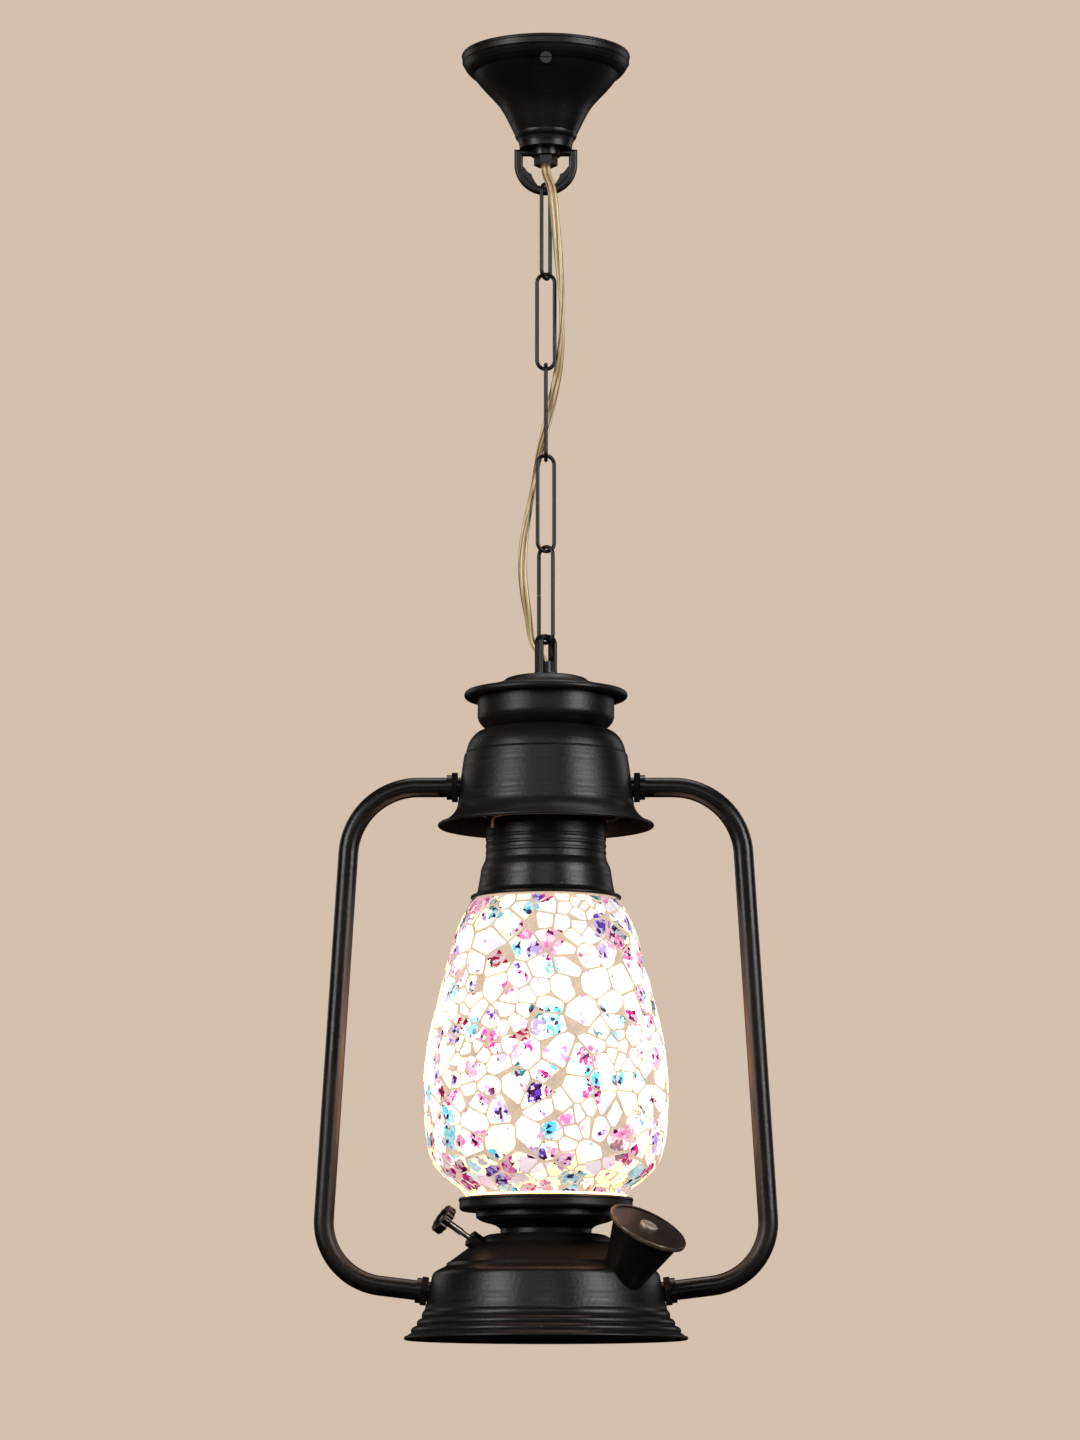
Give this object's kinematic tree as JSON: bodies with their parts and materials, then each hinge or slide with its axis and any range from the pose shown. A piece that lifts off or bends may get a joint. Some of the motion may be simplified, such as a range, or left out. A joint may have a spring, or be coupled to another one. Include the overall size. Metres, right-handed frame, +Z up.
{
  "type": "hanging lantern",
  "caption": "Hanging lantern shaped like an oil lamp: a lit mosaic glass globe in a black tube frame, hung from a ceiling cup by a chain with a clear lamp flex beside it",
  "frame": {"origin": "middle of the face that lies against the ceiling", "axes": "+Z up towards the ceiling, -Y towards the viewer of the picture, +X to the viewer's right, with the side tubes in the XZ plane"},
  "size_m": [0.2318, 0.1408, 0.6586],
  "materials": {
    "black_paint": "satin",
    "black_chain": "satin",
    "mosaic_glass": "frosted mosaic",
    "bright_steel": "worn bright",
    "zinc_steel": "zinc plated",
    "spring_steel": "oiled",
    "clear_flex": "clear over copper",
    "black_moulding": "moulded",
    "ceramic_core": "matt",
    "brass_fitting": "plain",
    "bulb_envelope": "frosted",
    "bulb_metal": "rolled"
  },
  "bodies": {
    "ceiling": {"ceiling_strap": "zinc_steel", "ceiling_cup": "black_paint", "cup_side_screws": "bright_steel", "cup_loop": "black_paint", "cup_nipple": "zinc_steel", "cup_nut": "black_paint", "cup_locknut": "zinc_steel", "terminal_block": "black_moulding", "terminal_screws": "brass_fitting", "cup_lead": "clear_flex", "flex_1": "clear_flex"},
    "link_1": {"chain_link_1": "black_chain", "flex_2": "clear_flex"},
    "link_2": {"chain_link_2": "black_chain", "flex_3": "clear_flex"},
    "link_3": {"chain_link_3": "black_chain", "flex_4": "clear_flex"},
    "link_4": {"chain_link_4": "black_chain", "flex_5": "clear_flex"},
    "link_5": {"chain_link_5": "black_chain", "flex_6": "clear_flex"},
    "neck": {"neck": "black_paint"},
    "wick": {"wick_pin": "bright_steel", "wick_knob": "bright_steel"},
    "bulb": {"bulb_cap": "bulb_metal", "bulb_glass": "bulb_envelope"},
    "lantern": {"cap_lid": "black_paint", "cap_bowl": "black_paint", "hood": "black_paint", "gallery_dish": "black_paint", "gallery_waist": "black_paint", "base": "black_paint", "side_tube_left": "black_paint", "side_tube_right": "black_paint", "tube_nuts_inner": "black_paint", "tube_nuts_outer": "black_paint", "tube_ferrules": "black_paint", "filler_neck": "black_paint", "fuel_cap": "black_paint", "knob_bush": "black_paint", "hanger": "black_paint", "glass_globe": "mosaic_glass", "fuel_cap_screw": "bright_steel", "stem_nuts": "zinc_steel", "centre_bolt": "zinc_steel", "centre_nut": "zinc_steel", "lamp_stem": "zinc_steel", "neck_spring": "spring_steel", "holder_lead": "clear_flex", "lamp_holder": "black_moulding", "holder_core": "ceramic_core", "holder_sleeve": "brass_fitting"}
  },
  "joints": [
    {"name": "link_1_swing", "type": "hinge", "parent": "ceiling", "child": "link_1", "pos_m": [0, 0, -0.0718], "axis": [1, 0, 0], "range_deg": [-25, 25], "deforming": ["flex_1"]},
    {"name": "link_2_swing", "type": "hinge", "parent": "link_1", "child": "link_2", "pos_m": [0, 0, -0.1179], "axis": [0.4848, 0.8746, 0], "range_deg": [-25, 25], "deforming": ["flex_2"]},
    {"name": "link_3_swing", "type": "hinge", "parent": "link_2", "child": "link_3", "pos_m": [0, 0, -0.1652], "axis": [1, 0, 0], "range_deg": [-25, 25], "deforming": ["flex_3"]},
    {"name": "link_4_swing", "type": "hinge", "parent": "link_3", "child": "link_4", "pos_m": [0, 0, -0.2125], "axis": [0, 1, 0], "range_deg": [-25, 25], "deforming": ["flex_4"]},
    {"name": "link_5_swing", "type": "hinge", "parent": "link_4", "child": "link_5", "pos_m": [0, 0, -0.2598], "axis": [0.9397, 0.342, 0], "range_deg": [-25, 25], "deforming": ["flex_5"]},
    {"name": "lantern_swing", "type": "hinge", "parent": "link_5", "child": "lantern", "pos_m": [0, 0, -0.3071], "axis": [0.788, -0.6157, 0], "range_deg": [-25, 25], "deforming": ["flex_6"]},
    {"name": "neck_lift", "type": "slide", "parent": "lantern", "child": "neck", "axis": [0, 0, 1], "range_m": [0, 0.014], "stiffness_N_per_m": 150, "springref_m": -0.02, "deforming": ["neck_spring"]},
    {"name": "wick_turn", "type": "hinge", "parent": "lantern", "child": "wick", "pos_m": [-0.0357, -0.013, -0.61], "axis": [-0.7877, -0.2902, 0.5435], "continuous": true},
    {"name": "bulb_turn", "type": "hinge", "parent": "lantern", "child": "bulb", "pos_m": [0, 0, -0.465], "axis": [0, 0, 1], "continuous": true}
  ]
}
